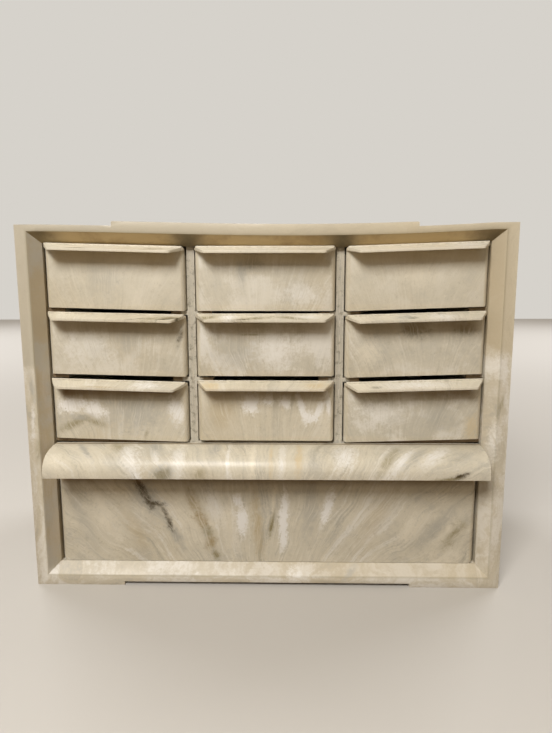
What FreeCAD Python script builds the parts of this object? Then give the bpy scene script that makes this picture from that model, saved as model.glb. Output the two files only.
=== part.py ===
import FreeCAD, Part
import math
import os
import Sketcher

# Desktop drawer cabinet: a moulded shell with three columns of three small drawers
# above one full-width drawer. Millimetres, +Z up, the drawer fronts face -Y, and the
# origin is on the floor under the middle of the cabinet.

doc = FreeCAD.newDocument("drawer_cabinet")

# Driving dimensions

SIZES = [
    ("cabinet_width", 318.0, "over the side walls"),
    ("cabinet_depth", 160.0, "front rim to back"),
    ("cabinet_height", 243.8, "feet to roof, without the stacking pad"),
    ("side_wall", 6.7, "side wall at the front rim"),
    ("roof_thickness", 3.6, "roof at the front rim"),
    ("floor_thickness", 3.9, "floor at the front rim, above the feet"),
    ("foot_height", 2.5, "feet below the floor"),
    ("pad_width", 193.8, "stacking pad on the roof"),
    ("pad_chamfer", 0.6, "long edges of the stacking pad"),
    ("stack_play", 1.4, "pad to foot of the cabinet stacked above, each side"),
    ("stack_lift", 0.3, "feet of the cabinet above clear the roof by this"),
    ("splay", 7.3, "depth and width of the sloping faces inside the rim"),
    ("rim_bevel", 1.4, "shallow bevel along the rim's inner edge"),
    ("bevel_depth", 0.5, "depth of that bevel"),
    ("divider_thickness", 5.15, "upright between two columns"),
    ("shelf_thickness", 2.7, "long shelf above the large drawer"),
    ("rib_thickness", 2.7, "runner rib under a small drawer"),
    ("rib_reach", 11.0, "runner rib out from its wall"),
    ("cell_height", 41.6, "clear height of a small drawer's cell"),
    ("back_thickness", 2.4, "back panel"),
    ("back_step", 1.8, "rebate round the bay that the back panel sits in"),
    ("back_fit", 0.2, "back panel to its rebate, each side"),
    ("front_set", 0.2, "drawer fronts behind the foot of the splay"),
    ("front_stand", 3.6, "drawer fronts before the dividers, ribs and shelf"),
    ("drawer_lift", 0.3, "running gap under a drawer"),
    ("back_play", 0.6, "drawer to back panel"),
    ("panel_play", 1.0, "small front to the rib above"),
    ("side_play", 0.85, "small drawer to its cell, each side"),
    ("drawer_wall", 1.8, "small drawer sides and back"),
    ("drawer_floor", 1.8, "small drawer floor"),
    ("drawer_front", 2.2, "small drawer front"),
    ("drawer_draft", 0.6, "small drawer narrows to the back, each side"),
    ("side_drop", 4.1, "small drawer sides below its front"),
    ("bottom_radius", 1.5, "small drawer, long bottom edges"),
    ("front_radius", 2.9, "small drawer, upright edges of its front"),
    ("lip_play", 0.8, "shoulder of the small pull to the level ceiling"),
    ("lip_shoulder", 0.4, "front of that shoulder before the front"),
    ("lip_headroom", 0.8, "crest of the small pull to the sloping ceiling"),
    ("lip_crest", 2.3, "crest of the small pull before the front"),
    ("lip_bead", 2.0, "upright front of the bead along the small pull's crest"),
    ("lip_reach", 12.4, "small pull before the front"),
    ("lip_fall", 6.3, "crest of the small pull to its lower front edge"),
    ("lip_edge", 1.5, "thickness of the small pull at its front edge"),
    ("lip_root", 2.8, "rise of the small pull's underside to the front"),
    ("lip_slant", 7.2, "small pull narrows to its front edge, each end"),
    ("lip_notch", 2.1, "slanted notch at each end of the small pull"),
    ("lip_corner", 2.4, "plan radius of the small pull's corners"),
    ("lip_round", 0.6, "radius of the small pull's crest"),
    ("large_play", 1.25, "large drawer and its pull to the side walls, each side"),
    ("large_wall", 2.2, "large drawer sides and back"),
    ("large_floor", 2.2, "large drawer floor"),
    ("large_front", 2.6, "large drawer front"),
    ("large_draft", 0.8, "large drawer narrows to the back, each side"),
    ("large_drop", 3.5, "large drawer sides below its front"),
    ("large_radius", 4.3, "large drawer, long bottom edges"),
    ("large_corner", 3.4, "large drawer, upright edges of its front"),
    ("pull_headroom", 0.85, "top of the large pull to the shelf"),
    ("pull_lap", 3.1, "large front behind the pull ends below its top"),
    ("pull_overhang", 15.2, "large pull before the front rim"),
    ("pull_rise", 14.2, "height of the large pull's curve"),
    ("pull_skirt", 2.9, "upright strip below the curve"),
    ("pull_wall", 2.4, "wall of the large pull"),
    ("pull_nose", 12.5, "outer radius at the front of the large pull"),
    ("pull_root", 2.3, "web that carries the large pull"),
    ("pull_web", 10.0, "height of that web"),
]

sheet = doc.addObject("Spreadsheet::Sheet", "Sizes")
for row, (name, value, note) in enumerate(SIZES, start=1):
    sheet.set(f"A{row}", name)
    sheet.set(f"B{row}", str(value))
    sheet.set(f"C{row}", note)
    sheet.setAlias(f"B{row}", name)
doc.recompute()

ROWS = ("bottom", "centre", "top")
COLUMNS = ("left", "middle", "right")


def size(name):
    """The sheet cell of that name, as a term for an expression."""
    return f"Sizes.{name}"


# Places that follow from the driving dimensions, as expressions

HALF_WIDTH = f"({size('cabinet_width')} / 2)"
FRONT = f"(({size('pull_overhang')} - {size('cabinet_depth')}) / 2)"
BACK = f"(({size('pull_overhang')} + {size('cabinet_depth')}) / 2)"
SPLAY_FOOT = f"({FRONT} + {size('splay')})"
DRAWER_FRONT = f"({SPLAY_FOOT} + {size('front_set')})"
FACE = f"({DRAWER_FRONT} + {size('front_stand')})"
PANEL_FACE = f"({BACK} - {size('back_thickness')})"
DRAWER_LENGTH = f"({PANEL_FACE} - {size('back_play')} - {DRAWER_FRONT})"

RIM_HALF = f"({HALF_WIDTH} - {size('side_wall')})"
RIM_FLOOR = f"({size('foot_height')} + {size('floor_thickness')})"
RIM_ROOF = f"({size('cabinet_height')} - {size('roof_thickness')})"
BAY_HALF = f"({RIM_HALF} - {size('splay')})"
BAY_FLOOR = f"({RIM_FLOOR} + {size('splay')})"
BAY_ROOF = f"({RIM_ROOF} - {size('splay')})"

PITCH = f"({size('cell_height')} + {size('rib_thickness')})"
CELLS = f"({len(ROWS)} * {size('cell_height')} + {len(ROWS) - 1} * {size('rib_thickness')})"
SHELF_TOP = f"({BAY_ROOF} - {CELLS})"
SHELF_UNDER = f"({SHELF_TOP} - {size('shelf_thickness')})"
DIVIDERS = f"({len(COLUMNS) - 1} * {size('divider_thickness')})"
CELL_WIDTH = f"((2 * {BAY_HALF} - {DIVIDERS}) / {len(COLUMNS)})"
COLUMN_PITCH = f"({CELL_WIDTH} + {size('divider_thickness')})"
PAD_HALF = f"({size('pad_width')} / 2)"
PAD_TOP = f"({size('cabinet_height')} + {size('foot_height')} + {size('stack_lift')})"
NOTCH_HALF = f"({PAD_HALF} + {size('stack_play')})"


def column_centre(column):
    """Middle of a column of cells, from its place among the columns."""
    return f"({column - (len(COLUMNS) - 1) / 2} * {COLUMN_PITCH})"


def cell_floor(row):
    """Top of the shelf or rib that carries a row, counted from the bottom."""
    return f"({SHELF_TOP} + {row} * {PITCH})"


# Ways to draw and build


def number(text):
    """Value of an expression, in millimetres."""
    value = sheet.evalExpression(text)
    return float(getattr(value, "Value", value))


def new_body(label):
    """An empty body whose label names its file."""
    body = doc.addObject("PartDesign::Body", label)
    body.Label = label
    return body


def new_sketch(body, name, role, offset="0"):
    """A sketch on one of the body's origin planes, moved along its normal."""
    sketch = body.newObject("Sketcher::SketchObject", f"{body.Name}_{name}")
    plane = [item for item in body.Origin.OriginFeatures if item.Role == role][0]
    sketch.AttachmentSupport = [(plane, "")]
    sketch.MapMode = "FlatFace"
    sketch.setExpression("AttachmentOffset.Base.z", offset)
    return sketch


def arc_through(start, end, radius, bulge):
    """The short arc between two points; it bulges to the right of the way for +1, to the left for -1."""
    middle = (start + end) * 0.5
    along = end - start
    to_right = FreeCAD.Vector(along.y, -along.x, 0).normalize()
    rise = math.sqrt(max(radius ** 2 - (along.Length / 2) ** 2, 0.0))
    centre = middle - to_right * (bulge * rise)
    first, last = (start, end) if bulge > 0 else (end, start)
    angles = [math.atan2(point.y - centre.y, point.x - centre.x) for point in (first, last)]
    circle = Part.Circle(centre, FreeCAD.Vector(0, 0, 1), radius)
    return Part.ArcOfCircle(circle, angles[0], angles[1])


def draw_outline(sketch, corners):
    """A closed outline. Each corner is (x, y), or (x, y, radius, bulge) where an arc runs to the next.

    Every corner is tied to the sketch's origin by its two expressions, and every arc by its radius.
    """
    first = sketch.GeometryCount
    count = len(corners)
    points = [FreeCAD.Vector(number(corner[0]), number(corner[1]), 0) for corner in corners]
    ends = []
    for index, corner in enumerate(corners):
        start, end = points[index], points[(index + 1) % count]
        if len(corner) == 2:
            sketch.addGeometry(Part.LineSegment(start, end), False)
            ends.append((1, 2))
            continue
        radius, bulge = corner[2], corner[3]
        geometry = sketch.addGeometry(arc_through(start, end, number(radius), bulge), False)
        ends.append((1, 2) if bulge > 0 else (2, 1))
        tie = sketch.addConstraint(Sketcher.Constraint("Radius", geometry, number(radius)))
        sketch.setExpression(f"Constraints[{tie}]", radius)
    for index, corner in enumerate(corners):
        geometry, following = first + index, first + (index + 1) % count
        joined = Sketcher.Constraint("Coincident", geometry, ends[index][1],
                                     following, ends[(index + 1) % count][0])
        sketch.addConstraint(joined)
        for kind, text, value in (("DistanceX", corner[0], points[index].x),
                                  ("DistanceY", corner[1], points[index].y)):
            tie = sketch.addConstraint(
                Sketcher.Constraint(kind, -1, 1, geometry, ends[index][0], value))
            sketch.setExpression(f"Constraints[{tie}]", text)


def draw_rectangle(sketch, left, bottom, right, top):
    """An upright rectangle from four expressions."""
    draw_outline(sketch, [(left, bottom), (right, bottom), (right, top), (left, top)])


def cut_frustum(body, name, mouth, rear):
    """Cuts a splayed mouth. Each end is its plane, half-width, lowest and highest place."""
    sketches = []
    for end, (plane, half, low, high) in (("mouth", mouth), ("rear", rear)):
        sketch = new_sketch(body, f"{name}_{end}", "XZ_Plane", f"0 - {plane}")
        draw_rectangle(sketch, f"0 - {half}", low, half, high)
        sketches.append(sketch)
    cut = body.newObject("PartDesign::SubtractiveLoft", f"{body.Name}_{name}")
    cut.Profile = sketches[0]
    cut.Sections = [sketches[1]]
    cut.Ruled = True
    doc.recompute()
    return cut


def extrude(body, kind, sketch, length=None, both_ways=False, backwards=False):
    """A pad or pocket of a sketch; with no length a pocket cuts through everything."""
    feature = body.newObject(f"PartDesign::{kind}", sketch.Name.replace("outline", kind.lower()))
    feature.Profile = sketch
    feature.Midplane = both_ways
    feature.Reversed = backwards
    if length is None:
        feature.Type = "ThroughAll"
    else:
        feature.setExpression("Length", length)
    doc.recompute()
    return feature


def round_edges(body, name, radius, chosen):
    """A fillet on the edges of the body's tip that the test picks."""
    tip = body.Tip
    names = [f"Edge{index}" for index, edge in enumerate(tip.Shape.Edges, start=1) if chosen(edge)]
    fillet = body.newObject("PartDesign::Fillet", f"{body.Name}_{name}")
    fillet.Base = (tip, names)
    fillet.setExpression("Radius", radius)
    doc.recompute()
    return fillet


def runs_along(edge, axis):
    """Whether a straight edge runs along an axis, within a moulding's draft."""
    ends = [vertex.Point for vertex in edge.Vertexes]
    if len(ends) != 2:
        return False
    way = (ends[1] - ends[0]).normalize()
    return abs(way.dot(axis)) > 0.99


X_AXIS = FreeCAD.Vector(1, 0, 0)
Y_AXIS = FreeCAD.Vector(0, 1, 0)
Z_AXIS = FreeCAD.Vector(0, 0, 1)
CLOSE = 0.01


# Cabinet shell


def column_sides(column):
    """The two sides of a column of cells."""
    centre = column_centre(column)
    return f"({centre} - {CELL_WIDTH} / 2)", f"({centre} + {CELL_WIDTH} / 2)"


def make_shell():
    """The moulded shell: rim, splay, bays, dividers, ribs, feet and stacking pad."""
    body = new_body("cabinet_shell")

    sketch = new_sketch(body, "outline", "XZ_Plane", f"0 - {BACK}")
    pad_shoulder = f"({PAD_TOP} - {size('pad_chamfer')})"
    pad_flat = f"({PAD_HALF} - {size('pad_chamfer')})"
    right_side = [
        (NOTCH_HALF, size("foot_height")),
        (NOTCH_HALF, "0"),
        (HALF_WIDTH, "0"),
        (HALF_WIDTH, size("cabinet_height")),
        (PAD_HALF, size("cabinet_height")),
        (PAD_HALF, pad_shoulder),
        (pad_flat, PAD_TOP),
    ]
    left_side = [(f"(0 - {across})", up) for across, up in reversed(right_side)]
    draw_outline(sketch, right_side + left_side)
    extrude(body, "Pad", sketch, size("cabinet_depth"))

    # Four sloping faces, mitred at the corners, lead from the rim in to the drawer fronts
    cut_frustum(body, "splay", (FRONT, RIM_HALF, RIM_FLOOR, RIM_ROOF),
                (SPLAY_FOOT, BAY_HALF, BAY_FLOOR, BAY_ROOF))
    bevel, depth = size("rim_bevel"), size("bevel_depth")
    cut_frustum(body, "rim_bevel",
                (FRONT, f"({RIM_HALF} + {bevel})", f"({RIM_FLOOR} - {bevel})", f"({RIM_ROOF} + {bevel})"),
                (f"({FRONT} + {depth})", f"({RIM_HALF} - {depth})",
                 f"({RIM_FLOOR} + {depth})", f"({RIM_ROOF} - {depth})"))
    sketch = new_sketch(body, "bay_outline", "XZ_Plane", f"0 - {SPLAY_FOOT}")
    draw_rectangle(sketch, f"0 - {BAY_HALF}", BAY_FLOOR, BAY_HALF, BAY_ROOF)
    extrude(body, "Pocket", sketch, f"{FACE} - {SPLAY_FOOT}")

    # Behind that front bay: the large drawer's bay, and a shaft for each column
    sketch = new_sketch(body, "shafts_outline", "XZ_Plane", f"0 - {FACE}")
    draw_rectangle(sketch, f"0 - {BAY_HALF}", BAY_FLOOR, BAY_HALF, SHELF_UNDER)
    for column in range(len(COLUMNS)):
        left, right = column_sides(column)
        draw_rectangle(sketch, left, SHELF_TOP, right, BAY_ROOF)
    extrude(body, "Pocket", sketch)

    step = size("back_step")
    sketch = new_sketch(body, "rebate_outline", "XZ_Plane", f"0 - {PANEL_FACE}")
    draw_rectangle(sketch, f"0 - {BAY_HALF} - {step}", f"{BAY_FLOOR} - {step}",
                   f"{BAY_HALF} + {step}", f"{BAY_ROOF} + {step}")
    extrude(body, "Pocket", sketch)

    # Runner ribs, on both sides of every cell above the lowest row
    sketch = new_sketch(body, "ribs_outline", "XZ_Plane", f"0 - {FACE}")
    for row in range(1, len(ROWS)):
        top = cell_floor(row)
        under = f"{top} - {size('rib_thickness')}"
        for column in range(len(COLUMNS)):
            left, right = column_sides(column)
            draw_rectangle(sketch, left, under, f"{left} + {size('rib_reach')}", top)
            draw_rectangle(sketch, f"{right} - {size('rib_reach')}", under, right, top)
    extrude(body, "Pad", sketch, f"{PANEL_FACE} - {FACE}", backwards=True)
    return body


# Back panel


def make_back_panel():
    """The flat sheet in the rebate at the back."""
    body = new_body("back_panel")
    sketch = new_sketch(body, "outline", "XZ_Plane", f"0 - {BACK}")
    margin = f"({size('back_step')} - {size('back_fit')})"
    draw_rectangle(sketch, f"0 - {BAY_HALF} - {margin}", f"{BAY_FLOOR} - {margin}",
                   f"{BAY_HALF} + {margin}", f"{BAY_ROOF} + {margin}")
    extrude(body, "Pad", sketch, size("back_thickness"))
    return body


# Drawers. Each is drawn about its own origin: the foot of its front face, in the middle.


def make_tub(body, half, height, front, wall, floor, draft, drop):
    """The open box of a drawer: tapered behind its front, its sides lower than the front."""
    sketch = new_sketch(body, "tub_outline", "XY_Plane")
    rear_half = f"({half} - {draft})"
    draw_outline(sketch, [(f"0 - {half}", "0"), (half, "0"), (half, front), (rear_half, DRAWER_LENGTH),
                          (f"0 - {rear_half}", DRAWER_LENGTH), (f"0 - {half}", front)])
    extrude(body, "Pad", sketch, height)

    sketch = new_sketch(body, "inside_outline", "XY_Plane", height)
    far = f"({DRAWER_LENGTH} - {wall})"
    near_half = f"({half} - {wall})"
    far_half = f"({near_half} - {draft} * ({far} - {front}) / ({DRAWER_LENGTH} - {front}))"
    draw_outline(sketch, [(f"0 - {near_half}", front), (near_half, front),
                          (far_half, far), (f"0 - {far_half}", far)])
    extrude(body, "Pocket", sketch, f"{height} - {floor}")

    # The top edge sweeps down in a quarter round from the front to the sides
    sketch = new_sketch(body, "sides_outline", "YZ_Plane")
    clear_top = f"({height} + {drop})"
    clear_back = f"({DRAWER_LENGTH} + {wall})"
    draw_outline(sketch, [
        (front, height, drop, 1),
        (f"{front} + {drop}", f"{height} - {drop}"),
        (clear_back, f"{height} - {drop}"),
        (clear_back, clear_top),
        (front, clear_top),
    ])
    extrude(body, "Pocket", sketch, f"4 * {half}", both_ways=True)


def round_front_corners(body, half, radius, height):
    """Rounds the two upright edges of a drawer's front, from its foot up to a height."""
    sketch = new_sketch(body, "corners_outline", "XY_Plane")
    for side, bulge in (("", 1), ("0 - ", -1)):
        draw_outline(sketch, [
            (f"{side}({half} - {radius})", "0", radius, bulge),
            (f"{side}{half}", radius),
            (f"{side}{half}", "0"),
        ])
    extrude(body, "Pocket", sketch, height, backwards=True)


def bottom_side_edges(half_number):
    """Test for the two long bottom edges of a tub."""
    def chosen(edge):
        middle = edge.CenterOfMass
        return runs_along(edge, Y_AXIS) and abs(middle.z) < CLOSE and abs(middle.x) > half_number
    return chosen


def inner_floor_edges(floor_number):
    """Test for the two long edges where a tub's floor meets its sides inside."""
    def chosen(edge):
        return runs_along(edge, Y_AXIS) and abs(edge.CenterOfMass.z - floor_number) < CLOSE
    return chosen


def make_small_drawer(column, row):
    """One small drawer: tub, and a sloping pull with a beaded crest and slanted ends."""
    body = new_body(f"small_drawer_{ROWS[row]}_{COLUMNS[column]}")
    half = f"({CELL_WIDTH} / 2 - {size('side_play')})"
    height = f"({size('cell_height')} - {size('drawer_lift')} - {size('panel_play')})"
    make_tub(body, half, height, size("drawer_front"), size("drawer_wall"), size("drawer_floor"),
             size("drawer_draft"), size("side_drop"))
    round_edges(body, "bottom_round", size("bottom_radius"), bottom_side_edges(number(half) / 2))

    # The crest stays under the sloping ceiling, and the shoulder behind it under the level one
    ceiling = f"({size('cell_height')} - {size('drawer_lift')})"
    crest = f"({ceiling} + {size('lip_crest')} - {size('front_set')} - {size('lip_headroom')})"
    shoulder = f"({ceiling} - {size('lip_play')})"
    edge_under = f"({crest} - {size('lip_fall')})"
    edge_top = f"({edge_under} + {size('lip_edge')})"
    lip_foot = f"({edge_under} + {size('lip_root')})"
    round_front_corners(body, half, size("front_radius"), lip_foot)
    sketch = new_sketch(body, "lip_outline", "YZ_Plane")
    draw_outline(sketch, [
        (size("drawer_front"), shoulder),
        (f"0 - {size('lip_shoulder')}", shoulder),
        (f"0 - {size('lip_crest')}", crest),
        (f"0 - {size('lip_crest')}", f"{crest} - {size('lip_bead')}"),
        (f"0 - {size('lip_reach')}", edge_top),
        (f"0 - {size('lip_reach')}", edge_under),
        ("0", lip_foot),
        (size("drawer_front"), lip_foot),
    ])
    extrude(body, "Pad", sketch, f"2 * {half}", both_ways=True)
    crest_place = (-number(size("lip_crest")), number(crest))
    round_edges(body, "lip_crest", size("lip_round"),
                lambda edge: runs_along(edge, X_AXIS)
                and abs(edge.CenterOfMass.y - crest_place[0]) < CLOSE
                and abs(edge.CenterOfMass.z - crest_place[1]) < CLOSE)

    beyond = f"({half} + {size('lip_slant')})"
    sketch = new_sketch(body, "lip_ends_outline", "XY_Plane")
    for side in ("", "0 - "):
        draw_outline(sketch, [
            (f"{side}{half}", "0"),
            (f"{side}({half} - {size('lip_slant')})", f"0 - {size('lip_reach')}"),
            (f"{side}({half} - {size('lip_slant')})", f"0 - {size('lip_reach')} - {size('lip_edge')}"),
            (f"{side}{beyond}", f"0 - {size('lip_reach')} - {size('lip_edge')}"),
            (f"{side}{beyond}", "0"),
        ])
    extrude(body, "Pocket", sketch, f"2 * {size('cell_height')}", both_ways=True)

    sketch = new_sketch(body, "lip_notch_outline", "XZ_Plane")
    for side in ("", "0 - "):
        draw_outline(sketch, [
            (f"{side}({half} - {size('lip_notch')})", crest),
            (f"{side}{half}", height),
            (f"{side}{beyond}", height),
            (f"{side}{beyond}", f"{crest} + {size('lip_edge')}"),
            (f"{side}({half} - {size('lip_notch')})", f"{crest} + {size('lip_edge')}"),
        ])
    extrude(body, "Pocket", sketch, f"2 * {size('lip_reach')} + 2 * {size('drawer_front')}", both_ways=True)

    reach = number(size("lip_reach"))
    corner_height = (number(edge_top) + number(edge_under)) / 2
    round_edges(body, "lip_corners", size("lip_corner"),
                lambda edge: runs_along(edge, Z_AXIS)
                and abs(edge.CenterOfMass.y + reach) < CLOSE
                and abs(edge.CenterOfMass.z - corner_height) < CLOSE)

    body.setExpression("Placement.Base.x", column_centre(column))
    body.setExpression("Placement.Base.y", DRAWER_FRONT)
    body.setExpression("Placement.Base.z", f"{cell_floor(row)} + {size('drawer_lift')}")
    return body


def make_large_drawer():
    """The full-width drawer: tub, and a hollow rounded pull along the whole top of its front."""
    body = new_body("large_drawer")
    half = f"({BAY_HALF} - {size('large_play')})"
    top = f"({SHELF_UNDER} - {BAY_FLOOR} - {size('drawer_lift')} - {size('pull_headroom')})"
    height = f"({top} - {size('pull_lap')})"
    make_tub(body, half, height, size("large_front"), size("large_wall"), size("large_floor"),
             size("large_draft"), size("large_drop"))
    round_edges(body, "inner_round", f"{size('large_radius')} - {size('large_wall')}",
                inner_floor_edges(number(size("large_floor"))))
    round_edges(body, "bottom_round", size("large_radius"), bottom_side_edges(number(half) / 2))

    # The pull's curve is two arcs that meet smoothly: a wide one that is level at the back,
    # and the nose, which ends upright. The inner arcs share their centres.
    reach = f"({size('splay')} + {size('front_set')} + {size('pull_overhang')})"
    rise, nose, wall = size("pull_rise"), size("pull_nose"), size("pull_wall")
    crown = f"((({reach} - {nose})^2 + {rise}^2 - {nose}^2) / (2 * ({rise} - {nose})))"
    spring = f"({top} - {rise})"
    share = f"(({crown} - {wall}) / ({crown} - {nose}))"
    inner_share = f"(({nose} - {wall}) / ({crown} - {nose}))"
    meet_out = (f"0 - ({reach} - {nose}) * {crown} / ({crown} - {nose})",
                f"{spring} + {nose} * ({crown} - {rise}) / ({crown} - {nose})")
    meet_in = (f"0 - ({reach} - {nose}) * {share}",
               f"{spring} + ({crown} - {rise}) * {inner_share}")
    root = size("pull_root")
    inner_top = f"({top} - {crown} + sqrt(({crown} - {wall})^2 - {root}^2))"
    skirt_foot = f"({spring} - {size('pull_skirt')})"
    web_foot = f"({top} - {size('pull_web')})"
    round_front_corners(body, half, size("large_corner"), f"{web_foot} - {root}")
    sketch = new_sketch(body, "pull_outline", "YZ_Plane")
    draw_outline(sketch, [
        (size("large_front"), top),
        ("0", top, crown, 1),
        (meet_out[0], meet_out[1], nose, 1),
        (f"0 - {reach}", spring),
        (f"0 - {reach}", skirt_foot),
        (f"0 - {reach} + {wall}", skirt_foot),
        (f"0 - {reach} + {wall}", spring, f"{nose} - {wall}", -1),
        (meet_in[0], meet_in[1], f"{crown} - {wall}", -1),
        (f"0 - {root}", inner_top),
        (f"0 - {root}", web_foot),
        ("0", f"{web_foot} - {root}"),
        (size("large_front"), f"{web_foot} - {root}"),
    ])
    extrude(body, "Pad", sketch, f"2 * {half}", both_ways=True)

    body.setExpression("Placement.Base.y", DRAWER_FRONT)
    body.setExpression("Placement.Base.z", f"{BAY_FLOOR} + {size('drawer_lift')}")
    return body


# Build, check and write

bodies = [make_shell(), make_back_panel(), make_large_drawer()]
for row in range(len(ROWS)):
    for column in range(len(COLUMNS)):
        bodies.append(make_small_drawer(column, row))
doc.recompute()

for item in doc.Objects:
    if {"Invalid", "Error"} & set(item.State):
        raise RuntimeError(f"{item.Name} did not build: {item.State}")

os.makedirs("parts", exist_ok=True)
for body in bodies:
    shape = body.Shape
    if shape.isNull() or not shape.isValid() or len(shape.Solids) != 1:
        raise RuntimeError(f"{body.Label} is not one valid solid")
    shape.exportStep(f"parts/{body.Label}.step")
    box = shape.BoundBox
    print(f"{body.Label}: {shape.Volume / 1000:.1f} cm3, x {box.XMin:.2f} to {box.XMax:.2f},"
          f" y {box.YMin:.2f} to {box.YMax:.2f}, z {box.ZMin:.2f} to {box.ZMax:.2f}")
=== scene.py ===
import math

import bmesh
import bpy
import numpy as np
from mathutils import Matrix, Vector


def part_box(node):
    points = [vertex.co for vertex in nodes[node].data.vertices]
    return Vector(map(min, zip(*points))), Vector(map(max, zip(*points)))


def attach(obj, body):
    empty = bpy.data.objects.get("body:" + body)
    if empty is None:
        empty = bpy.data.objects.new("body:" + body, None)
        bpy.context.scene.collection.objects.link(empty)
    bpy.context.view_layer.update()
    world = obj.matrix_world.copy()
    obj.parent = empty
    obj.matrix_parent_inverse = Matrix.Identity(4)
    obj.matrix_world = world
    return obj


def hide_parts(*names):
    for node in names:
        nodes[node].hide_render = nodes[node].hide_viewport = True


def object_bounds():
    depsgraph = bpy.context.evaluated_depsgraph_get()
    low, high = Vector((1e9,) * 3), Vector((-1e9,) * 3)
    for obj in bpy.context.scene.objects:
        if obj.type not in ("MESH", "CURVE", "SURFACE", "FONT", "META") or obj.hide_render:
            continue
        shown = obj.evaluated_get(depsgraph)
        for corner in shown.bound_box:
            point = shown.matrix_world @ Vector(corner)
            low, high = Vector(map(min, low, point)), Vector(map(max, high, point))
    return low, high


# Looks of a desktop drawer cabinet of marbled ivory plastic. Metres, +Z up, the drawer
# fronts face -Y. Each moulding is a welded copy of its CAD node with softened edges. The
# CAD model is straight, as it was moulded, and here the old shell sags in the middle and
# the small drawers come down with it.

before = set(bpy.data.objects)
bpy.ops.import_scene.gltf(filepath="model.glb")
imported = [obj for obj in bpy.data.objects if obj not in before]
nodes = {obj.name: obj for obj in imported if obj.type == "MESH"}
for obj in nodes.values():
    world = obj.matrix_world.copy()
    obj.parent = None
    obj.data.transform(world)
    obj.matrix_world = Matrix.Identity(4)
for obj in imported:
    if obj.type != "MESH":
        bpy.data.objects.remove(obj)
cad_low, cad_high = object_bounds()

MM = 0.001
ROWS = ("bottom", "centre", "top")
COLUMNS = ("left", "middle", "right")


def small_drawer(row, column):
    """Node name of a small drawer."""
    return f"small_drawer_{row}_{column}"


# Sizes and clearances of the CAD model, by the names that they have there

SIDE_WALL = 6.7 * MM
FLOOR_THICKNESS = 3.9 * MM
FOOT_HEIGHT = 2.5 * MM
SPLAY = 7.3 * MM
CELL_HEIGHT = 41.6 * MM
DRAWER_LIFT = 0.3 * MM
FRONT_STAND = 3.6 * MM
LIP_CREST = 2.3 * MM
LIP_REACH = 12.4 * MM
LARGE_PLAY = 1.25 * MM
PULL_HEADROOM = 0.85 * MM

# Places read from the frame, or worked out from it: RIM is the opening's outline in the front,
# BAY the opening behind the splay, and OVER_SPLAY a height inside the roof's front edge

shell_low, shell_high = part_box("cabinet_shell")
large_low, large_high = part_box("large_drawer")
panel_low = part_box("back_panel")[0]
first_low, first_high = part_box(small_drawer("top", "left"))
second_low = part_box(small_drawer("top", "middle"))[0]

FRONT = shell_low.y
DRAWER_FACE = first_low.y + LIP_REACH
RIB_FACE = DRAWER_FACE + FRONT_STAND
PANEL_FACE = panel_low.y
RIM_HALF = shell_high.x - SIDE_WALL
RIM_FLOOR = FOOT_HEIGHT + FLOOR_THICKNESS
BAY_HALF = large_high.x + LARGE_PLAY
BAY_ROOF = first_low.z - DRAWER_LIFT + CELL_HEIGHT
OVER_SPLAY = BAY_ROOF + SPLAY + 2.0 * MM
SHELF_UNDER = large_high.z + PULL_HEADROOM
FIRST_DIVIDER = -(first_high.x + second_low.x) / 2

# Sag of the shell: in the middle, its lean to one side, and its flatness

ROOF_SAG = (3.15 * MM, 1.6 * MM, -0.7 * MM)
SHELF_SAG = (3.35 * MM, 0.48 * MM, -0.38 * MM)
SAG_STEP = 8.0 * MM

# How much of the shell's sag each drawer follows

FOLLOWS = {
    "top": {"left": 1.0, "middle": 0.9, "right": 1.0},
    "centre": {"left": 0.8, "middle": 0.55, "right": 0.9},
    "bottom": {"left": 1.0, "middle": 0.55, "right": 0.9},
}

# Rounded edges, those of the shell's front outline more, and what counts as joined, flat and sharp

EDGE = 0.35 * MM
RIM_EDGE = 0.9 * MM
EDGE_SEGMENTS = 3
WELD = 0.01 * MM
FLAT = math.radians(0.6)
SHARP = math.radians(28)


def drop(across, sag):
    """Sag at places across: (1 - u^2)(a + b u + c u^2), with u from -1 to 1 between the walls."""
    u = np.clip(across / BAY_HALF, -1.0, 1.0)
    middle, lean, flatness = sag
    return (1 - u ** 2) * (middle + lean * u + flatness * u ** 2)


def fade(depth):
    """1 up to the drawer fronts, then falling evenly to 0 at the back panel."""
    return np.clip((PANEL_FACE - depth) / (PANEL_FACE - RIB_FACE), 0.0, 1.0)


def sag_shell(points):
    """The shell above the large drawer comes down, by a mix of the roof's sag and the shelf's."""
    x, y, z = points.T
    height = np.clip((z - SHELF_UNDER) / (BAY_ROOF - SHELF_UNDER), 0.0, 1.0)
    amount = height * drop(x, ROOF_SAG) + (1 - height) * drop(x, SHELF_SAG)
    points[:, 2] -= np.where(z > SHELF_UNDER - WELD, amount * fade(y), 0.0)


def sag_drawer(row, column):
    """A drawer stays straight across: its two ends follow the shelf or ribs that carry it."""
    low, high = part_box(small_drawer(row, column))
    ends = drop(np.array([low.x, high.x]), SHELF_SAG) * FOLLOWS[row][column]

    def move(points):
        x, y = points[:, 0], points[:, 1]
        points[:, 2] -= np.interp(x, (low.x, high.x), ends) * fade(y)
    return move


# Moulded pieces


def rim_edge(middle):
    """How far an edge of the shell is rounded: most along its front outline, where it is worn."""
    outline = abs(middle.x) > shell_high.x - WELD or middle.z > OVER_SPLAY
    return RIM_EDGE if middle.y < FRONT + WELD and outline else EDGE


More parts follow.
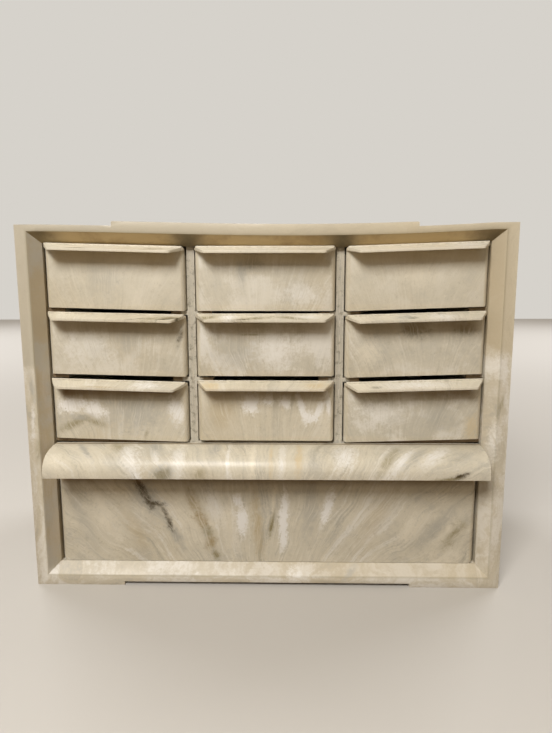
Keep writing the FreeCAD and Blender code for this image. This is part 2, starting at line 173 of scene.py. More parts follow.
def moulding(node, body, material, bend=None, cuts=(), edge=lambda middle: EDGE):
    """A welded copy of a CAD node, cut across where it bends, bent, and with rounded edges.

    The triangles of each flat face are joined, planes cut what has to bend, each sharp edge gets a
    weight for how far it is rounded, and the bend moves all vertices as one array.
    """
    work = bmesh.new()
    work.from_mesh(nodes[node].data)
    bmesh.ops.remove_doubles(work, verts=work.verts, dist=WELD)
    bmesh.ops.dissolve_limit(work, angle_limit=FLAT, verts=work.verts, edges=work.edges)
    for place, normal in cuts:
        everything = work.verts[:] + work.edges[:] + work.faces[:]
        bmesh.ops.bisect_plane(work, geom=everything, dist=WELD, plane_co=place, plane_no=normal)
    weight = work.edges.layers.float.new("bevel_weight_edge")
    for line in work.edges:
        if line.is_manifold and line.calc_face_angle() > SHARP:
            line[weight] = edge((line.verts[0].co + line.verts[1].co) / 2) / RIM_EDGE
    mesh = bpy.data.meshes.new(f"moulded_{node}")
    work.to_mesh(mesh)
    work.free()
    if bend:
        points = np.empty(len(mesh.vertices) * 3, np.float32)
        mesh.vertices.foreach_get("co", points)
        points = points.reshape(-1, 3).astype(float)
        bend(points)
        mesh.vertices.foreach_set("co", points.astype(np.float32).ravel())
    mesh.polygons.foreach_set("use_smooth", np.ones(len(mesh.polygons), bool))
    mesh.materials.append(material)
    mesh.update()
    piece = bpy.data.objects.new(f"moulded_{node}", mesh)
    bpy.context.scene.collection.objects.link(piece)
    bevel = piece.modifiers.new("rounded edges", "BEVEL")
    bevel.width = RIM_EDGE
    bevel.segments = EDGE_SEGMENTS
    bevel.limit_method = "WEIGHT"
    bevel.harden_normals = True
    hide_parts(node)
    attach(piece, body)
    return piece


# Shader building: places of a Mix node's sockets for its first and second input and its result

MIX_SOCKETS = {"RGBA": (6, 7, 2), "VECTOR": (4, 5, 1)}


class Wire:
    """A shader socket. Sums and products of wires and numbers add their Math nodes."""

    def __init__(self, shader, socket):
        self.shader = shader
        self.socket = socket

    def maths(self, operation, *terms):
        return self.shader.node("Math", dict(enumerate(terms)), operation=operation)

    def __add__(self, other):
        return self.maths("ADD", self, other)

    def __sub__(self, other):
        return self.maths("SUBTRACT", self, other)

    def __mul__(self, other):
        return self.maths("MULTIPLY", self, other)

    def __pow__(self, other):
        return self.maths("POWER", self, other)

    def __rsub__(self, other):
        return self.maths("SUBTRACT", other, self)

    __radd__ = __add__
    __rmul__ = __mul__


class Shader:
    """The nodes of a material or of the world, being wired up."""

    def __init__(self, owner):
        owner.use_nodes = True
        self.owner = owner
        self.tree = owner.node_tree
        self.tree.nodes.clear()

    def node(self, kind, inputs=None, output=0, **settings):
        """Adds a node: its settings first, then the values or links of its sockets."""
        node = self.tree.nodes.new("ShaderNode" + kind)
        for name, value in settings.items():
            setattr(node, name, value)
        for key, value in (inputs or {}).items():
            if isinstance(value, Wire):
                self.tree.links.new(value.socket, node.inputs[key])
            else:
                node.inputs[key].default_value = value
        return Wire(self, node.outputs[output]) if node.outputs else None

    def noise(self, place, scale, detail=3.0, roughness=0.55, distortion=0.0):
        """Soft noise about 0.5."""
        return self.node("TexNoise", {"Vector": place, "Scale": scale, "Detail": detail,
                                      "Roughness": roughness, "Distortion": distortion})

    def band(self, value, start, end):
        """0 before start, 1 after end, smooth between; start may lie above end."""
        return self.node("MapRange", {"Value": value, "From Min": start, "From Max": end},
                         interpolation_type="SMOOTHSTEP")

    def mix(self, first, second, share, kind="RGBA"):
        """Second colour or vector over the first, by a share."""
        one, other, mixed = MIX_SOCKETS[kind]
        return self.node("Mix", {0: share, one: first, other: second}, output=mixed, data_type=kind)

    def join(self, x, y, z):
        """A vector from three values."""
        return self.node("CombineXYZ", {"X": x, "Y": y, "Z": z})

    def split(self, vector):
        """The three values of a vector."""
        first = self.node("SeparateXYZ", {"Vector": vector})
        outputs = first.socket.node.outputs
        return [Wire(self, outputs[axis]) for axis in range(3)]


def colour(red, green, blue):
    """A colour written as it looks on screen, 0 to 255, as the linear values that a socket takes."""
    def linear(value):
        value /= 255
        return value / 12.92 if value <= 0.04045 else ((value + 0.055) / 1.055) ** 2.4
    return (linear(red), linear(green), linear(blue), 1.0)


# Colours of the plastic, of its stains and of the shade painted on it

CREAM = colour(207, 200, 182)
PALE = colour(226, 218, 199)
WARM = colour(208, 191, 156)
TAN = colour(186, 171, 140)
GREY = colour(172, 169, 159)
WHITE = colour(233, 231, 226)
OLIVE = colour(136, 125, 90)
VEIN = colour(74, 63, 42)
# Brown of painted shade: under the lips and the pull, on the roof and on the rib fronts
SHADE_BROWN = colour(116, 90, 52)
CEILING = colour(178, 152, 100)
WALL = colour(160, 143, 112)
# Dark of soot, also painted as shade beside the dividers and in the ceiling's corners
SOOT_AND_SHADE = colour(92, 86, 66)
RUSTY = colour(150, 128, 84)

# Depth of the gate behind the front, and how fine fibres and swirls are, across and along the flow

GATE_DEPTH = 70.0 * MM
FIBRE = (84.0, 34.0)
SWIRL = (9.0, 7.0)

# A mark's frayed edge runs from 1.3 to 0.15 of its half widths

MARK_EDGE = (1.3, 0.15)

# Relief of clouds, fibres and specks

BUMP_STRENGTH = 0.45
BUMP_DEPTH = 0.3 * MM


class Plastic:
    """Marbled plastic of one moulding, mixed layer by layer.

    The anchor is the foot of the front in the middle, and places are measured from it. The plastic
    flowed from the middle of the floor behind it, so the surface is unfolded to a way down the front
    and on over the floor, z - |y|. Streaks follow the angle about the gate in the unfolded floor.
    """

    def __init__(self, name, anchor, seed):
        shader = self.shader = Shader(bpy.data.materials.new(name))
        place = shader.node("TexCoord", output="Object")
        local = shader.node("Mapping", {"Vector": place, "Location": [-value for value in anchor]})
        self.x, self.y, self.z = shader.split(local)
        self.side = self.x.maths("ABSOLUTE", self.x)
        self.down = self.z - self.y.maths("ABSOLUTE", self.y)
        drift = shader.node("Mapping", {"Vector": place, "Location": (seed, 0.7 * seed, 0.4 * seed)})

        # Wander and ripple bend the streaks, cloud and patch tint, and fray and speck break up edges
        self.wander = shader.noise(drift, 11.0, detail=2.0)
        self.ripple = shader.noise(drift, 60.0, detail=3.0)
        self.cloud = shader.noise(drift, 34.0, detail=6.0, roughness=0.66)
        self.patch = shader.noise(drift, 12.0, detail=2.0)
        self.fray = shader.noise(drift, 230.0, detail=4.0, roughness=0.75)
        self.speck = shader.noise(drift, 700.0, detail=3.0, roughness=0.6)

        # Fibres and swirls are noise drawn out along the flow
        along, across = self.flow()
        fibres = shader.join(across * FIBRE[0], along * FIBRE[1], seed)
        self.fibre = shader.noise(fibres, 1.0, detail=4.0, roughness=0.7)
        swirls = shader.join(across * SWIRL[0], along * SWIRL[1], seed + 5.0)
        self.swirl = shader.noise(swirls, 1.0, detail=6.0, roughness=0.66, distortion=0.3)
        self.frayed = 1.7 * (self.fray - 0.5) + (self.speck - 0.5) + 1.8 * (self.fibre - 0.5)
        self.tint = CREAM

    def flow(self):
        """Ways along and across the streaks: the distance from the gate and the angle about it."""
        unfolded = self.down + GATE_DEPTH
        angle = self.x.maths("ARCTAN2", self.x, unfolded)
        angle = angle + 0.3 * (self.wander - 0.5) + 0.06 * (self.ripple - 0.5)
        distance = (self.x * self.x + unfolded * unfolded) ** 0.5 + 0.03 * (self.ripple - 0.5)
        return distance, angle

    def lay(self, shade, share):
        """Lays a colour over the tint, by a share."""
        self.tint = self.shader.mix(self.tint, shade, share)

    def band(self, value, start, end):
        """0 before start, 1 after end."""
        return self.shader.band(value, start, end)

    def ridge(self, value, centre, reach):
        """1 at a value, falling to 0 within a reach on both sides."""
        return self.band(value.maths("ABSOLUTE", value - centre), reach, 0.0)

    def woven(self, value, start, end):
        """A band whose edges are drawn out into fibres."""
        return self.band(value + 0.12 * self.frayed, start, end)

    def marble(self, streaks):
        """Clouds, soft streaks and fine fibres, from faint at 0 to strong at 1."""
        self.lay(GREY, self.woven(self.cloud, 0.48, 0.7) * (0.3 + 0.4 * streaks))
        self.lay(PALE, self.woven(self.cloud, 0.48, 0.3) * (0.35 + 0.4 * streaks))
        self.lay(TAN, self.woven(self.patch, 0.5, 0.68) * 0.35)
        self.lay(GREY, self.woven(self.swirl, 0.52, 0.66) * streaks)
        self.lay(WHITE, self.woven(self.swirl, 0.46, 0.32) * 0.8 * streaks)
        self.lay(OLIVE, self.woven(self.swirl, 0.6, 0.74) * 0.6 * streaks)
        self.lay(OLIVE, self.band(self.fibre, 0.5, 0.8) * (0.05 + 0.28 * streaks))
        self.lay(WHITE, self.band(self.fibre, 0.48, 0.22) * (0.08 + 0.34 * streaks))
        self.lay(PALE, self.band(self.fray, 0.53, 0.74) * 0.45)
        self.lay(OLIVE, self.band(self.fray, 0.46, 0.24) * 0.3)
        self.lay(SOOT_AND_SHADE, self.band(self.speck, 0.62, 0.85) * 0.3)

    def mark(self, marks, rise, where):
        """Frayed marks on one face.

        A mark is its place across and up the rise, its half width and half height, how far it leans
        across for each millimetre of rise, its colour and its strength.
        """
        flat = self.shader.join(self.x, 0.0, rise)
        streaky = where * (0.35 + 0.75 * self.band(self.fibre, 0.36, 0.56))
        for across, up, half_width, half_height, lean, shade, strength in marks:
            ellipse = {"Vector": flat, "Location": (across * MM, 0.0, up * MM),
                       "Rotation": (0.0, math.atan(lean), 0.0),
                       "Scale": (half_width * MM, 1.0, half_height * MM)}
            turned = self.shader.node("Mapping", ellipse, vector_type="TEXTURE")
            reach = self.shader.node("VectorMath", {0: turned}, output="Value", operation="LENGTH")
            self.lay(shade, self.band(reach + self.frayed, *MARK_EDGE) * strength * streaky)

    def finish(self, roughness):
        """The surface with its bumps, a little rougher where it is clouded."""
        height = self.cloud * 1.3 + self.fibre * 0.3 + self.fray * 0.14 + self.speck * 0.04
        bump = self.shader.node("Bump", {"Height": height, "Strength": BUMP_STRENGTH, "Distance": BUMP_DEPTH})
        rough = roughness + 0.16 * self.band(self.cloud, 0.35, 0.7) + 0.12 * (self.fray - 0.5)
        surface = self.shader.node("BsdfPrincipled", {"Base Color": self.tint, "Roughness": rough,
                                                      "Normal": bump})
        self.shader.node("OutputMaterial", {"Surface": surface})
        return self.shader.owner


# Height at which the shell turns from yellowed to marbled, and how wide that border is

AGED_ABOVE = 161.0 * MM
AGED_RAGGED = 70.0 * MM
AGED_SLOPE = 0.35
AGED_BORDER = (AGED_ABOVE + 7.0 * MM, AGED_ABOVE - 13.0 * MM)

# How fine the shell's streaks are, along and across

SHELL_FLOW = (1.6, 6.0)


class ShellPlastic(Plastic):
    """Plastic of the shell. Its streaks run up its sides and dividers, and along its roof and floor."""

    def flow(self):
        """Ways along and across the streaks: up and sideways on what stands, and turned on the rest."""
        among_drawers = self.band(self.z, SHELF_UNDER - 5 * MM, SHELF_UNDER - 4 * MM) * \
            self.band(self.z, BAY_ROOF, BAY_ROOF - 1 * MM)
        standing = self.band(self.side, BAY_HALF - 0.5 * MM, BAY_HALF + 0.5 * MM) * \
            self.band(self.z, OVER_SPLAY + 1.4 * MM, OVER_SPLAY)
        standing = standing + self.ridge(self.side, FIRST_DIVIDER, 5.0 * MM) * among_drawers
        warp = 0.05 * (self.wander - 0.5) + 0.012 * (self.ripple - 0.5)
        level = self.shader.join(self.x, self.z - self.y, 0.0)
        upright = self.shader.join(self.z, self.x + self.y, 0.0)
        along, across, _ = self.shader.split(self.shader.mix(level, upright, standing, kind="VECTOR"))
        return SHELL_FLOW[0] * along + warp, SHELL_FLOW[1] * (across + warp)

    def age(self):
        """Yellowed above and marbled whiter below. The ragged border comes down towards the back."""
        border = self.z + AGED_RAGGED * (self.cloud - 0.5) + AGED_SLOPE * (self.y + self.side - RIM_HALF)
        self.below = self.band(border, *AGED_BORDER)
        self.leftwards = self.band(self.x + 80 * MM * (self.cloud - 0.5), 100 * MM, -120 * MM)
        above = 1 - self.below
        self.lay(TAN, 0.4)
        self.lay(WARM, above * 0.22)
        self.lay(GREY, 0.12 + above * self.leftwards * 0.36)
        self.lay(WHITE, self.below * (0.06 + 0.45 * self.woven(self.swirl, 0.54, 0.38)))
        self.lay(GREY, self.below * self.woven(self.swirl, 0.54, 0.64) * 0.5)
        self.lay(OLIVE, self.below * self.woven(self.swirl, 0.62, 0.72) * 0.6)
        behind = above * self.band(self.y, 3 * MM, 30 * MM)
        self.lay(GREY, behind * self.woven(self.swirl, 0.53, 0.65) * 0.4)
        self.lay(PALE, behind * self.woven(self.swirl, 0.52, 0.4) * 0.4)

    def paint_wall_shade(self):
        """The splayed walls are painted browner than the rim, as painted shade, the left one all the way
        down.
        """
        wall = self.band(self.side, BAY_HALF - 1 * MM, BAY_HALF) * \
            self.band(self.side, RIM_HALF + 0.4 * MM, RIM_HALF) * \
            self.band(self.y, 0.6 * MM, 1.2 * MM) * self.band(self.y, 60 * MM, 20 * MM) * \
            self.band(self.z, RIM_FLOOR, RIM_FLOOR + 8 * MM) * \
            self.band(self.z, OVER_SPLAY, OVER_SPLAY - 1 * MM)
        left = self.band(self.x, 0.0, -1 * MM)
        self.lay(WALL, wall * (0.4 + 0.3 * left) * (1 - self.below * (1 - left) * 0.7))
        self.lay(GREY, wall * left * self.band(self.cloud, 0.42, 0.62) * 0.6)

    def stain_and_shade_ceiling(self, facing_up):
        """The down-facing ceiling is painted golden brown, partly stain and partly painted shade, darker
        beside the dividers and in the corners, where more shade is painted.
        """
        roof = self.band(facing_up, -0.3, -0.6) * self.band(self.z, BAY_ROOF - 12 * MM, BAY_ROOF - 8 * MM)
        corner_soot_and_shade = self.ridge(self.side, FIRST_DIVIDER, 17 * MM) + \
            0.8 * self.band(self.side, BAY_HALF - 22 * MM, BAY_HALF)
        # Painted shade and stain: golden brown and brown clouds on the down-facing roof, darker beside the
        # dividers and in the corners
        self.lay(CEILING, roof * 0.85)
        self.lay(SHADE_BROWN, roof * self.band(self.cloud, 0.45, 0.7) * 0.5)
        self.lay(SOOT_AND_SHADE, roof * corner_soot_and_shade * (0.3 + 0.8 * self.cloud))

    def streak_and_shade_ribs(self, facing_up):
        """Paler, grey-streaked and dark-specked fronts of the dividers, ribs and shelf, and painted shade in
        brown on the rib and shelf fronts away from the dividers.
        """
        off_front = self.y.maths("ABSOLUTE", self.y - (RIB_FACE - FRONT))
        fronts = self.band(self.side, BAY_HALF, BAY_HALF - 0.5 * MM) * \
            self.band(off_front, 2 * MM, 1 * MM) * \
            self.band(self.z, SHELF_UNDER - 6 * MM, SHELF_UNDER - 5 * MM) * self.band(facing_up, 0.9, 0.6)
        divider = self.ridge(self.side, FIRST_DIVIDER, 18 * MM)
        self.lay(PALE, fronts * 0.4)
        self.lay(GREY, fronts * (0.25 + self.band(self.fibre, 0.42, 0.58)) * 0.7)
        self.lay(SOOT_AND_SHADE, fronts * self.band(self.fray, 0.5, 0.66) * 0.6)
        # Painted shade: brown on the rib and shelf fronts away from the dividers, down in the gaps between
        # drawers
        self.lay(SHADE_BROWN, fronts * self.band(divider, 0.75, 0.6) * 0.85)

    def pale_ledge(self, facing_up):
        """The ledge under the large drawer is whiter on the left and browner on the right."""
        ledge = self.band(facing_up, 0.3, 0.6) * self.band(self.z, 60 * MM, 50 * MM)
        white = 0.1 + 0.35 * self.woven(self.swirl, 0.55, 0.4)
        self.lay(WHITE, ledge * white * (0.2 + 0.8 * self.leftwards))
        self.lay(TAN, ledge * (1 - self.leftwards) * 0.35)

    def dark_crease(self):
        """A thin dark line in the crease behind the rim's rounded edge."""
        self.lay(OLIVE, self.ridge(self.y, 0.6 * MM, 0.5 * MM) * 0.35)


def shell_plastic():
    """Shell: yellowed above, marbled whiter below, with brown under the roof, partly stain and partly painted
    shade, and painted shade on the walls and ribs.
    """
    plastic = ShellPlastic("ivory shell plastic", (0, FRONT, 0), seed=3.1)
    facing_up = plastic.shader.split(plastic.shader.node("NewGeometry", output="Normal"))[2]
    plastic.marble(streaks=0.3)
    plastic.age()
    plastic.paint_wall_shade()
    plastic.stain_and_shade_ceiling(facing_up)
    plastic.streak_and_shade_ribs(facing_up)
    plastic.pale_ledge(facing_up)
    plastic.dark_crease()
    plastic.mark(SHELL_MARKS, plastic.z, 1.0)
    return plastic.finish(roughness=0.42)


# Marks in millimetres: places across and up, half width, half height, lean, colour, strength

SHELL_MARKS = (
    (-154, 138, 2.2, 12, -0.1, GREY, 0.8),
    (-155, 116, 1.6, 16, 0.08, WHITE, 0.7),
    (-153, 96, 2.0, 10, 0.1, OLIVE, 0.5),
    (150, 152, 14, 9, 0.1, WHITE, 0.5),
    (49.2, 165, 4, 60, 0.0, SOOT_AND_SHADE, 0.2),
    (154, 128, 1.6, 9, 0.2, OLIVE, 0.5),
    (151, 104, 4.0, 16, 0.1, WHITE, 0.6),
    (24, 8, 12, 6, -0.3, WHITE, 0.7),
    (58, 9, 8, 2.2, -0.9, GREY, 0.6),
)


def back_plastic():
    """Back panel: a plain, paler, matt sheet, faintly marbled."""
    plastic = Plastic("ivory back plastic", (0, PANEL_FACE, 0), seed=5.3)
    plastic.lay(PALE, 0.3)
    plastic.marble(streaks=0.18)
    return plastic.finish(roughness=0.55)


def large_drawer_plastic():
    """Large drawer: strong fan of streaks, with a dark vein, brown flecks and white blobs on the front, and
    painted shadow under the pull.
    """
    plastic = Plastic("ivory large drawer plastic", (0, DRAWER_FACE, large_low.z), seed=0.6)
    band = plastic.band
    plastic.marble(streaks=0.6)
    pull = band(plastic.y, -1.0 * MM, -2.0 * MM)
    front = band(plastic.y, 0.6 * MM, 0.0 * MM) * (1 - pull)
    plastic.lay(PALE, pull * 0.1)
    plastic.mark(LARGE_FRONT_MARKS, plastic.z, front)
    plastic.mark(PULL_MARKS, plastic.down, pull)
    # Painted shadow under the pull: brown on the front below its lower edge
    shaded = front * band(plastic.z, *PULL_SHADE)
    plastic.lay(SHADE_BROWN, shaded * (0.45 + 0.5 * plastic.cloud))
    # A warm band along the rounded side edges, partly worn and partly a painted highlight on their rounding
    plastic.lay(WARM, front * band(plastic.side, large_high.x - 4 * MM, large_high.x) * 0.6)
    return plastic.finish(roughness=0.34 - 0.07 * pull)


# Heights over the drawer's underside: the large pull's lower edge, and the painted shadow under it from none
# to full

PULL_FOOT = 68.0 * MM
PULL_SHADE = (PULL_FOOT - 15 * MM, PULL_FOOT - 8 * MM)

LARGE_FRONT_MARKS = (
    (-112, 34, 7, 26, -0.5, PALE, 0.6),
    (-128, 30, 5, 26, -0.4, GREY, 0.5),
    (-91, 22, 6, 22, -0.5, TAN, 0.45),
    (-84, 50, 9, 22, -0.6, GREY, 1.1),
    (-64, 20, 4, 14, -0.6, GREY, 0.9),
    (-89, 58, 3.4, 14, -0.55, VEIN, 1.0),
    (-82.5, 46, 3.2, 10, -0.4, VEIN, 1.0),
    (-77, 42, 6.5, 2.0, 0.05, VEIN, 1.0),
    (-70.5, 36, 1.9, 8, -0.5, VEIN, 0.75),
    (-67, 27, 2.4, 7, -0.3, VEIN, 1.0),
    (-36, 40, 7, 16, -0.3, WHITE, 0.55),
    (-51, 44, 4.6, 14, -0.3, RUSTY, 0.6),
    (-45, 30, 5.4, 10, -0.45, RUSTY, 0.65),
    (-41, 22, 4.6, 6, -0.2, OLIVE, 0.6),
    (-38.5, 14, 4.6, 6, 0.3, RUSTY, 0.7),
    (-35.5, 5, 3.0, 5, -0.4, OLIVE, 0.8),
    (-20, 45, 4.4, 5, -0.2, WHITE, 1.3),
    (-17, 30, 4.0, 12, 0.0, WHITE, 2.0),
    (-25, 20, 6.0, 20, -0.1, PALE, 0.5),
    (-6, 26, 4.4, 34, -0.08, TAN, 0.8),
    (3.8, 28, 1.8, 12, 0.15, OLIVE, 0.9),
    (5, 44, 1.6, 14, 0.1, PALE, 0.8),
    (12, 31, 3.4, 22, 0.05, WHITE, 2.0),
    (12, 15, 3.2, 7, 0.05, WHITE, 1.6),
    (30, 36, 6.0, 26, 0.1, GREY, 0.6),
    (42, 38, 3.2, 14, 0.3, WHITE, 1.5),
    (117, 26, 6.0, 24, 0.85, GREY, 0.75),
    (130, 20, 4.4, 16, 0.8, OLIVE, 0.6),
    (98, 22, 6.0, 22, 0.8, PALE, 0.6),
    (76, 34, 8.0, 24, 0.5, TAN, 0.45),
)

PULL_MARKS = (
    (-121, 74, 2.4, 18, -0.6, GREY, 0.9),
    (-97, 78, 7.0, 11, -0.5, OLIVE, 0.7),
    (-88, 62, 6.5, 24, -0.3, WHITE, 0.8),
    (-72, 68, 3.0, 20, -0.2, WHITE, 0.6),
    (-82, 46, 2.4, 5, -0.2, WHITE, 1.1),
    (-73, 76, 5.5, 11, -0.4, GREY, 1.0),
    (-65, 50, 9.0, 8, -0.6, GREY, 1.1),
    (-66, 48, 9.0, 4.5, -0.6, OLIVE, 0.6),
    (-56, 60, 5.0, 22, 0.0, WHITE, 0.65),
    (-42, 49, 6.0, 6, -0.1, OLIVE, 0.5),
    (-33, 76, 5.5, 11, 0.0, GREY, 0.9),
    (-24, 60, 1.6, 26, 0.0, WHITE, 0.7),
    (-8, 62, 2.4, 24, 0.0, PALE, 0.9),
    (4, 62, 1.6, 24, 0.0, WARM, 0.7),
    (11, 62, 3.0, 26, 0.05, WHITE, 0.7),
    (22, 64, 3.0, 24, 0.05, WARM, 0.8),
    (52, 66, 8.0, 18, 0.1, WHITE, 0.85),
    (80, 62, 3.8, 20, 0.5, OLIVE, 0.6),
    (88, 60, 4.0, 20, 0.6, WHITE, 0.9),
    (97, 64, 4.0, 18, 0.7, GREY, 0.7),
    (110, 66, 6.0, 16, 0.8, WHITE, 0.8),
    (124, 48, 7.0, 2.2, -0.35, VEIN, 1.1),
    (116, 46, 9.0, 1.4, -0.1, OLIVE, 0.8),
)


def small_drawer_plastic(row, column, seed):
    """Small drawer: clouded front with warm edges, partly worn and partly a painted highlight, painted shade
    under the lip, and marks on front and lip.
    """
    low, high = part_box(small_drawer(row, column))
    half = (high.x - low.x) / 2
    anchor = ((low.x + high.x) / 2, DRAWER_FACE, low.z)
    plastic = Plastic(f"ivory drawer plastic {row} {column}", anchor, seed)
    band = plastic.band
    streaks, whiter, lip_shade_strength = FRONT_TONES[row, column]
    plastic.marble(streaks)
    lip = band(plastic.y, -0.4 * MM, -1.4 * MM)
    front = band(plastic.y, 0.6 * MM, 0.0 * MM) * (1 - lip)
    plastic.lay(GREY, front * whiter * 0.5)
    plastic.lay(WHITE, front * whiter * plastic.woven(plastic.cloud, 0.55, 0.4))
    plastic.mark(FRONT_MARKS[row, column], plastic.z, front)
    plastic.lay(PALE, lip * LIP_PALE[row])
    plastic.mark(LIP_MARKS[row, column], -1 * plastic.y, lip)
    bead = plastic.ridge(plastic.y, -LIP_CREST - 0.3 * MM, 0.6 * MM)
    plastic.lay(SOOT_AND_SHADE, bead * band(plastic.fray, 0.4, 0.6) * 0.4)

    # Warm rounded edges, partly worn and partly painted highlight and shade of their rounding, and painted
    # shade under the lip
    edge = band(plastic.side, half - 3.5 * MM, half - 0.5 * MM) + 0.3 * band(plastic.z, 2.5 * MM, 0.5 * MM)
    plastic.lay(WARM, front * edge * 0.5)
    shaded = front * band(plastic.z, *LIP_SHADE) * band(plastic.side, half - 3 * MM, half - 9 * MM)
    # Painted shade under the lip: a warm tint where it is faint, brown where it is strong
    plastic.lay(WARM, shaded * (1 - lip_shade_strength) * 0.5)
    plastic.lay(SHADE_BROWN, shaded * lip_shade_strength * (0.4 + 0.8 * plastic.cloud))
    return plastic.finish(roughness=0.38)


# Heights over a small drawer's underside where the painted shade under its lip starts and is full

LIP_SHADE = (25.0 * MM, 32.0 * MM)

# How much paler the lips of each row are

LIP_PALE = {"top": 0.35, "centre": 0.1, "bottom": 0.2}

# Streaks, how much whiter the front is, and how brown the painted shade under the lip is

FRONT_TONES = {
    ("top", "left"): (0.1, 0.1, 0.05),
    ("top", "middle"): (0.2, 0.3, 0.05),
    ("top", "right"): (0.05, 0.15, 0.05),
    ("centre", "left"): (0.16, 0.3, 0.45),
    ("centre", "middle"): (0.26, 0.5, 0.45),
    ("centre", "right"): (0.24, 0.3, 0.5),
    ("bottom", "left"): (0.42, 0.05, 1.0),
    ("bottom", "middle"): (0.28, 0.05, 0.85),
    ("bottom", "right"): (0.26, 0.5, 0.85),
}

FRONT_MARKS = {
    ("top", "left"): ((-6, 18, 12, 11, 0.2, GREY, 0.5), (26, 30, 12, 8, 0.0, TAN, 0.5)),
    ("top", "middle"): ((-8, 30, 9, 8, 0.0, SOOT_AND_SHADE, 0.5), (-16, 24, 4, 13, -0.1, GREY, 0.7),
                        (24, 8, 16, 8, 0.0, WHITE, 0.6)),
    ("top", "right"): ((2, 20, 14, 9, 0.0, PALE, 0.5),),
    ("centre", "left"): ((43, 27, 2.2, 11, 0.35, VEIN, 0.7), (-20, 18, 18, 12, 0.0, WHITE, 0.45),
                         (8, 22, 10, 12, 0.3, GREY, 0.5)),
    ("centre", "middle"): ((-20, 14, 18, 12, 0.0, GREY, 0.6), (6, 12, 16, 12, 0.0, WHITE, 0.6),
                           (-10, 26, 10, 0.8, 0.0, OLIVE, 0.8)),
    ("centre", "right"): ((-1, 30, 12, 7, 0.2, SOOT_AND_SHADE, 0.7), (32, 29, 10, 4, 0.0, SOOT_AND_SHADE, 0.6),
                          (-30, 14, 9, 12, 0.3, PALE, 0.6)),
    ("bottom", "left"): ((2, 20, 34, 18, 0.0, GREY, 0.5), (-34, 23, 11, 6, -0.2, WHITE, 1.6),
                         (-18, 20, 10, 6, 0.4, WHITE, 1.3), (-32, 10, 15, 3.4, -0.45, OLIVE, 0.7),
                         (-18, 11, 11, 2.6, 0.35, OLIVE, 0.65), (-28, 14, 9, 2.4, 0.1, GREY, 0.8),
                         (38, 20, 6, 11, -0.2, WHITE, 1.4), (14, 17, 16, 12, 0.1, GREY, 0.6),
                         (17, 3, 1.6, 4, 0.3, OLIVE, 0.5)),
    ("bottom", "middle"): ((-10, 24, 6, 8, 0.1, WHITE, 1.9), (2, 26, 4.0, 4, 0.0, WHITE, 1.9),
                           (13, 25, 4.2, 5, -0.2, WHITE, 1.9), (24, 22, 2.2, 12, -0.3, WHITE, 1.9),
                           (29, 14, 4.0, 5, 0.3, WHITE, 1.5), (35, 18, 2.6, 9, 0.35, WHITE, 1.8),
                           (42, 24, 2.2, 10, -0.2, WHITE, 1.6), (-30, 20, 10, 16, 0.0, TAN, 0.7)),
    ("bottom", "right"): ((-20, 18, 18, 10, 0.3, WHITE, 0.6), (16, 14, 16, 10, 0.2, GREY, 0.6),
                          (40, 8, 6, 10, 0.0, WARM, 0.7)),
}

LIP_MARKS = {
    ("top", "left"): ((-20, 11, 7, 1.0, 0.0, VEIN, 0.7), (27, 9, 8, 2.4, 0.2, OLIVE, 0.5)),
    ("top", "middle"): ((0, 7, 20, 4, 0.0, WHITE, 0.3),),
    ("top", "right"): ((30, 7, 14, 6, 0.0, WHITE, 0.6),),
    ("centre", "left"): ((32, 8, 16, 4, 0.25, OLIVE, 0.9), (36, 9, 10, 1.6, 0.3, VEIN, 0.9),
                         (16, 10, 8, 1.3, 0.25, SOOT_AND_SHADE, 0.8)),
    ("centre", "middle"): ((-38, 8, 9, 4, 0.3, OLIVE, 0.85), (-24, 7, 6, 6, 0.0, WHITE, 0.9),
                           (-6, 9, 14, 3, 0.2, OLIVE, 0.85), (16, 8, 12, 3, -0.2, OLIVE, 0.8),
                           (28, 6, 9, 4, 0.0, WHITE, 0.7), (-14, 11, 7, 1.0, 0.1, VEIN, 0.8)),
    ("centre", "right"): ((-8, 7, 9, 6, 0.2, GREY, 0.9), (16, 8, 10, 5, 0.0, WHITE, 0.7),
                          (-4, 9, 4, 2.4, 0.0, SOOT_AND_SHADE, 0.6)),
    ("bottom", "left"): ((-10, 11, 14, 1.6, 0.0, TAN, 0.9), (20, 7, 11, 5, 0.0, WHITE, 0.9)),
    ("bottom", "middle"): ((-36, 8, 8, 6, 0.0, WARM, 0.9), (34, 8, 10, 6, 0.0, WARM, 0.9)),
    ("bottom", "right"): ((0, 7, 24, 6, 0.0, WHITE, 0.7), (-26, 9, 4, 2.4, 0.0, SOOT_AND_SHADE, 0.6)),
}


# Build the pieces

across_cuts = [((x, 0, 0), (1, 0, 0)) for x in np.arange(-BAY_HALF, BAY_HALF + WELD, SAG_STEP)]
depth_cut = ((0, RIB_FACE, 0), (0, 1, 0))

moulding("cabinet_shell", "cabinet", shell_plastic(), sag_shell,
         across_cuts + [depth_cut], rim_edge)
moulding("back_panel", "cabinet", back_plastic())
moulding("large_drawer", "large_drawer", large_drawer_plastic())

# Each drawer has a seed of its own, so that no two are marbled alike
for row_index, row in enumerate(ROWS):
    for column_index, column in enumerate(COLUMNS):
        node = small_drawer(row, column)
        seed = 1.7 * row_index + 4.3 * column_index + 11.0
        plastic = small_drawer_plastic(row, column, seed)
        moulding(node, node, plastic, sag_drawer(row, column))


# Floor, light and camera

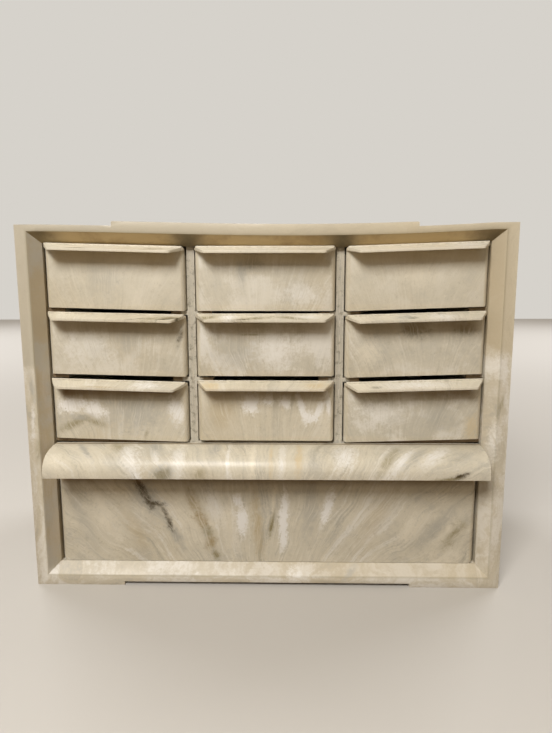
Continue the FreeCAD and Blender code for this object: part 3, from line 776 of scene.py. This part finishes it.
FLOOR_HALF = 4.0
FLOOR_GAP = 0.05 * MM
FLOOR_COLOUR = colour(196, 193, 188)
FLOOR_BOUNCE = colour(120, 105, 85)
FLOOR_GLOW = colour(112, 110, 108)
GLOW_REACH = (0.1, 1.6)
DARK = (0.0, 0.0, 0.0, 1.0)
ROOM_LIGHT = (0.35, 0.295, 0.225, 1.0)
WALL_COLOUR = colour(214, 210, 203)
WARM_LAMP = (1.0, 0.97, 0.93)
COOL_LAMP = (0.97, 0.98, 1.0)


def lay_floor():
    """A plain pale floor, one square sheet, which the camera sees grow as pale as the wall far away."""
    mesh = bpy.data.meshes.new("floor")
    square = ((-1, -1), (1, -1), (1, 1), (-1, 1))
    corners = [(x * FLOOR_HALF, y * FLOOR_HALF, -FLOOR_GAP) for x, y in square]
    mesh.from_pydata(corners, [], [(0, 1, 2, 3)])
    shader = Shader(bpy.data.materials.new("pale floor"))
    seen = shader.node("LightPath", output="Is Camera Ray")
    place = shader.node("TexCoord", output="Object")
    away = shader.node("VectorMath", {0: place}, output="Value", operation="LENGTH")
    tint = shader.mix(FLOOR_BOUNCE, FLOOR_COLOUR, seen)
    pale = shader.mix(DARK, FLOOR_GLOW, seen * shader.band(away, *GLOW_REACH))
    surface = shader.node("BsdfPrincipled", {"Base Color": tint, "Roughness": 0.8,
                                             "Emission Color": pale, "Emission Strength": 1.0})
    shader.node("OutputMaterial", {"Surface": surface})
    mesh.materials.append(shader.owner)
    floor = bpy.data.objects.new("floor", mesh)
    bpy.context.scene.collection.objects.link(floor)


def area_light(name, direction, distance, size, watts, tint):
    """A square lamp that looks at the middle of the cabinet from a direction."""
    light = bpy.data.lights.new(name, "AREA")
    light.size = size
    light.energy = watts
    light.color = tint
    lamp = bpy.data.objects.new(name, light)
    bpy.context.scene.collection.objects.link(lamp)
    middle = (cad_low + cad_high) / 2
    way = Vector(direction).normalized()
    turn = way.to_track_quat("Z", "Y").to_matrix().to_4x4()
    lamp.matrix_world = Matrix.Translation(middle + way * distance) @ turn


def light_room():
    """Dim warm room light, which the camera sees as a plain pale wall."""
    shader = Shader(bpy.data.worlds.new("room"))
    seen = shader.node("LightPath", output="Is Camera Ray")
    background = shader.node("Background", {"Color": shader.mix(ROOM_LIGHT, WALL_COLOUR, seen)})
    shader.node("OutputWorld", {"Surface": background})
    bpy.context.scene.world = shader.owner


lay_floor()
light_room()
for side in (-1, 1):
    area_light("back", (0.8 * side, 0.7, 0.7), distance=3.4, size=1.8, watts=48.0, tint=COOL_LAMP)
area_light("key", (-0.3, -1.0, 0.87), distance=1.05, size=0.36, watts=9.4, tint=WARM_LAMP)

# The camera stands before the cabinet, a little right of its middle, and looks slightly down. Its
# lens was fitted in pixels of a frame 733 pixels tall, and the sensor spans that longer side.

CAMERA_PLACE = (13.90 * MM, -404.25 * MM, 198.87 * MM)
YAW, PITCH, ROLL = (math.radians(angle) for angle in (-1.17, 7.84, -0.13))
SENSOR = 36.0
FRAME_TALL = 733
FOCAL_PIXELS = 515.0
NEAREST = 0.01


def place_camera():
    """The camera, turned by yaw about Z, then pitched down and rolled."""
    forward = Vector((math.sin(YAW) * math.cos(PITCH), math.cos(YAW) * math.cos(PITCH), -math.sin(PITCH)))
    level = Vector((math.cos(YAW), -math.sin(YAW), 0.0))
    above = level.cross(forward)
    right = math.cos(ROLL) * level + math.sin(ROLL) * above
    up = math.cos(ROLL) * above - math.sin(ROLL) * level
    data = bpy.data.cameras.new("camera")
    data.sensor_fit = "AUTO"
    data.sensor_width = SENSOR
    data.lens = SENSOR * FOCAL_PIXELS / FRAME_TALL
    data.clip_start = NEAREST
    camera = bpy.data.objects.new("camera", data)
    bpy.context.scene.collection.objects.link(camera)
    turn = Matrix((right, up, -forward)).transposed().to_4x4()
    camera.matrix_world = Matrix.Translation(CAMERA_PLACE) @ turn
    bpy.context.scene.camera = camera


place_camera()
bpy.context.scene.view_settings.view_transform = "Standard"
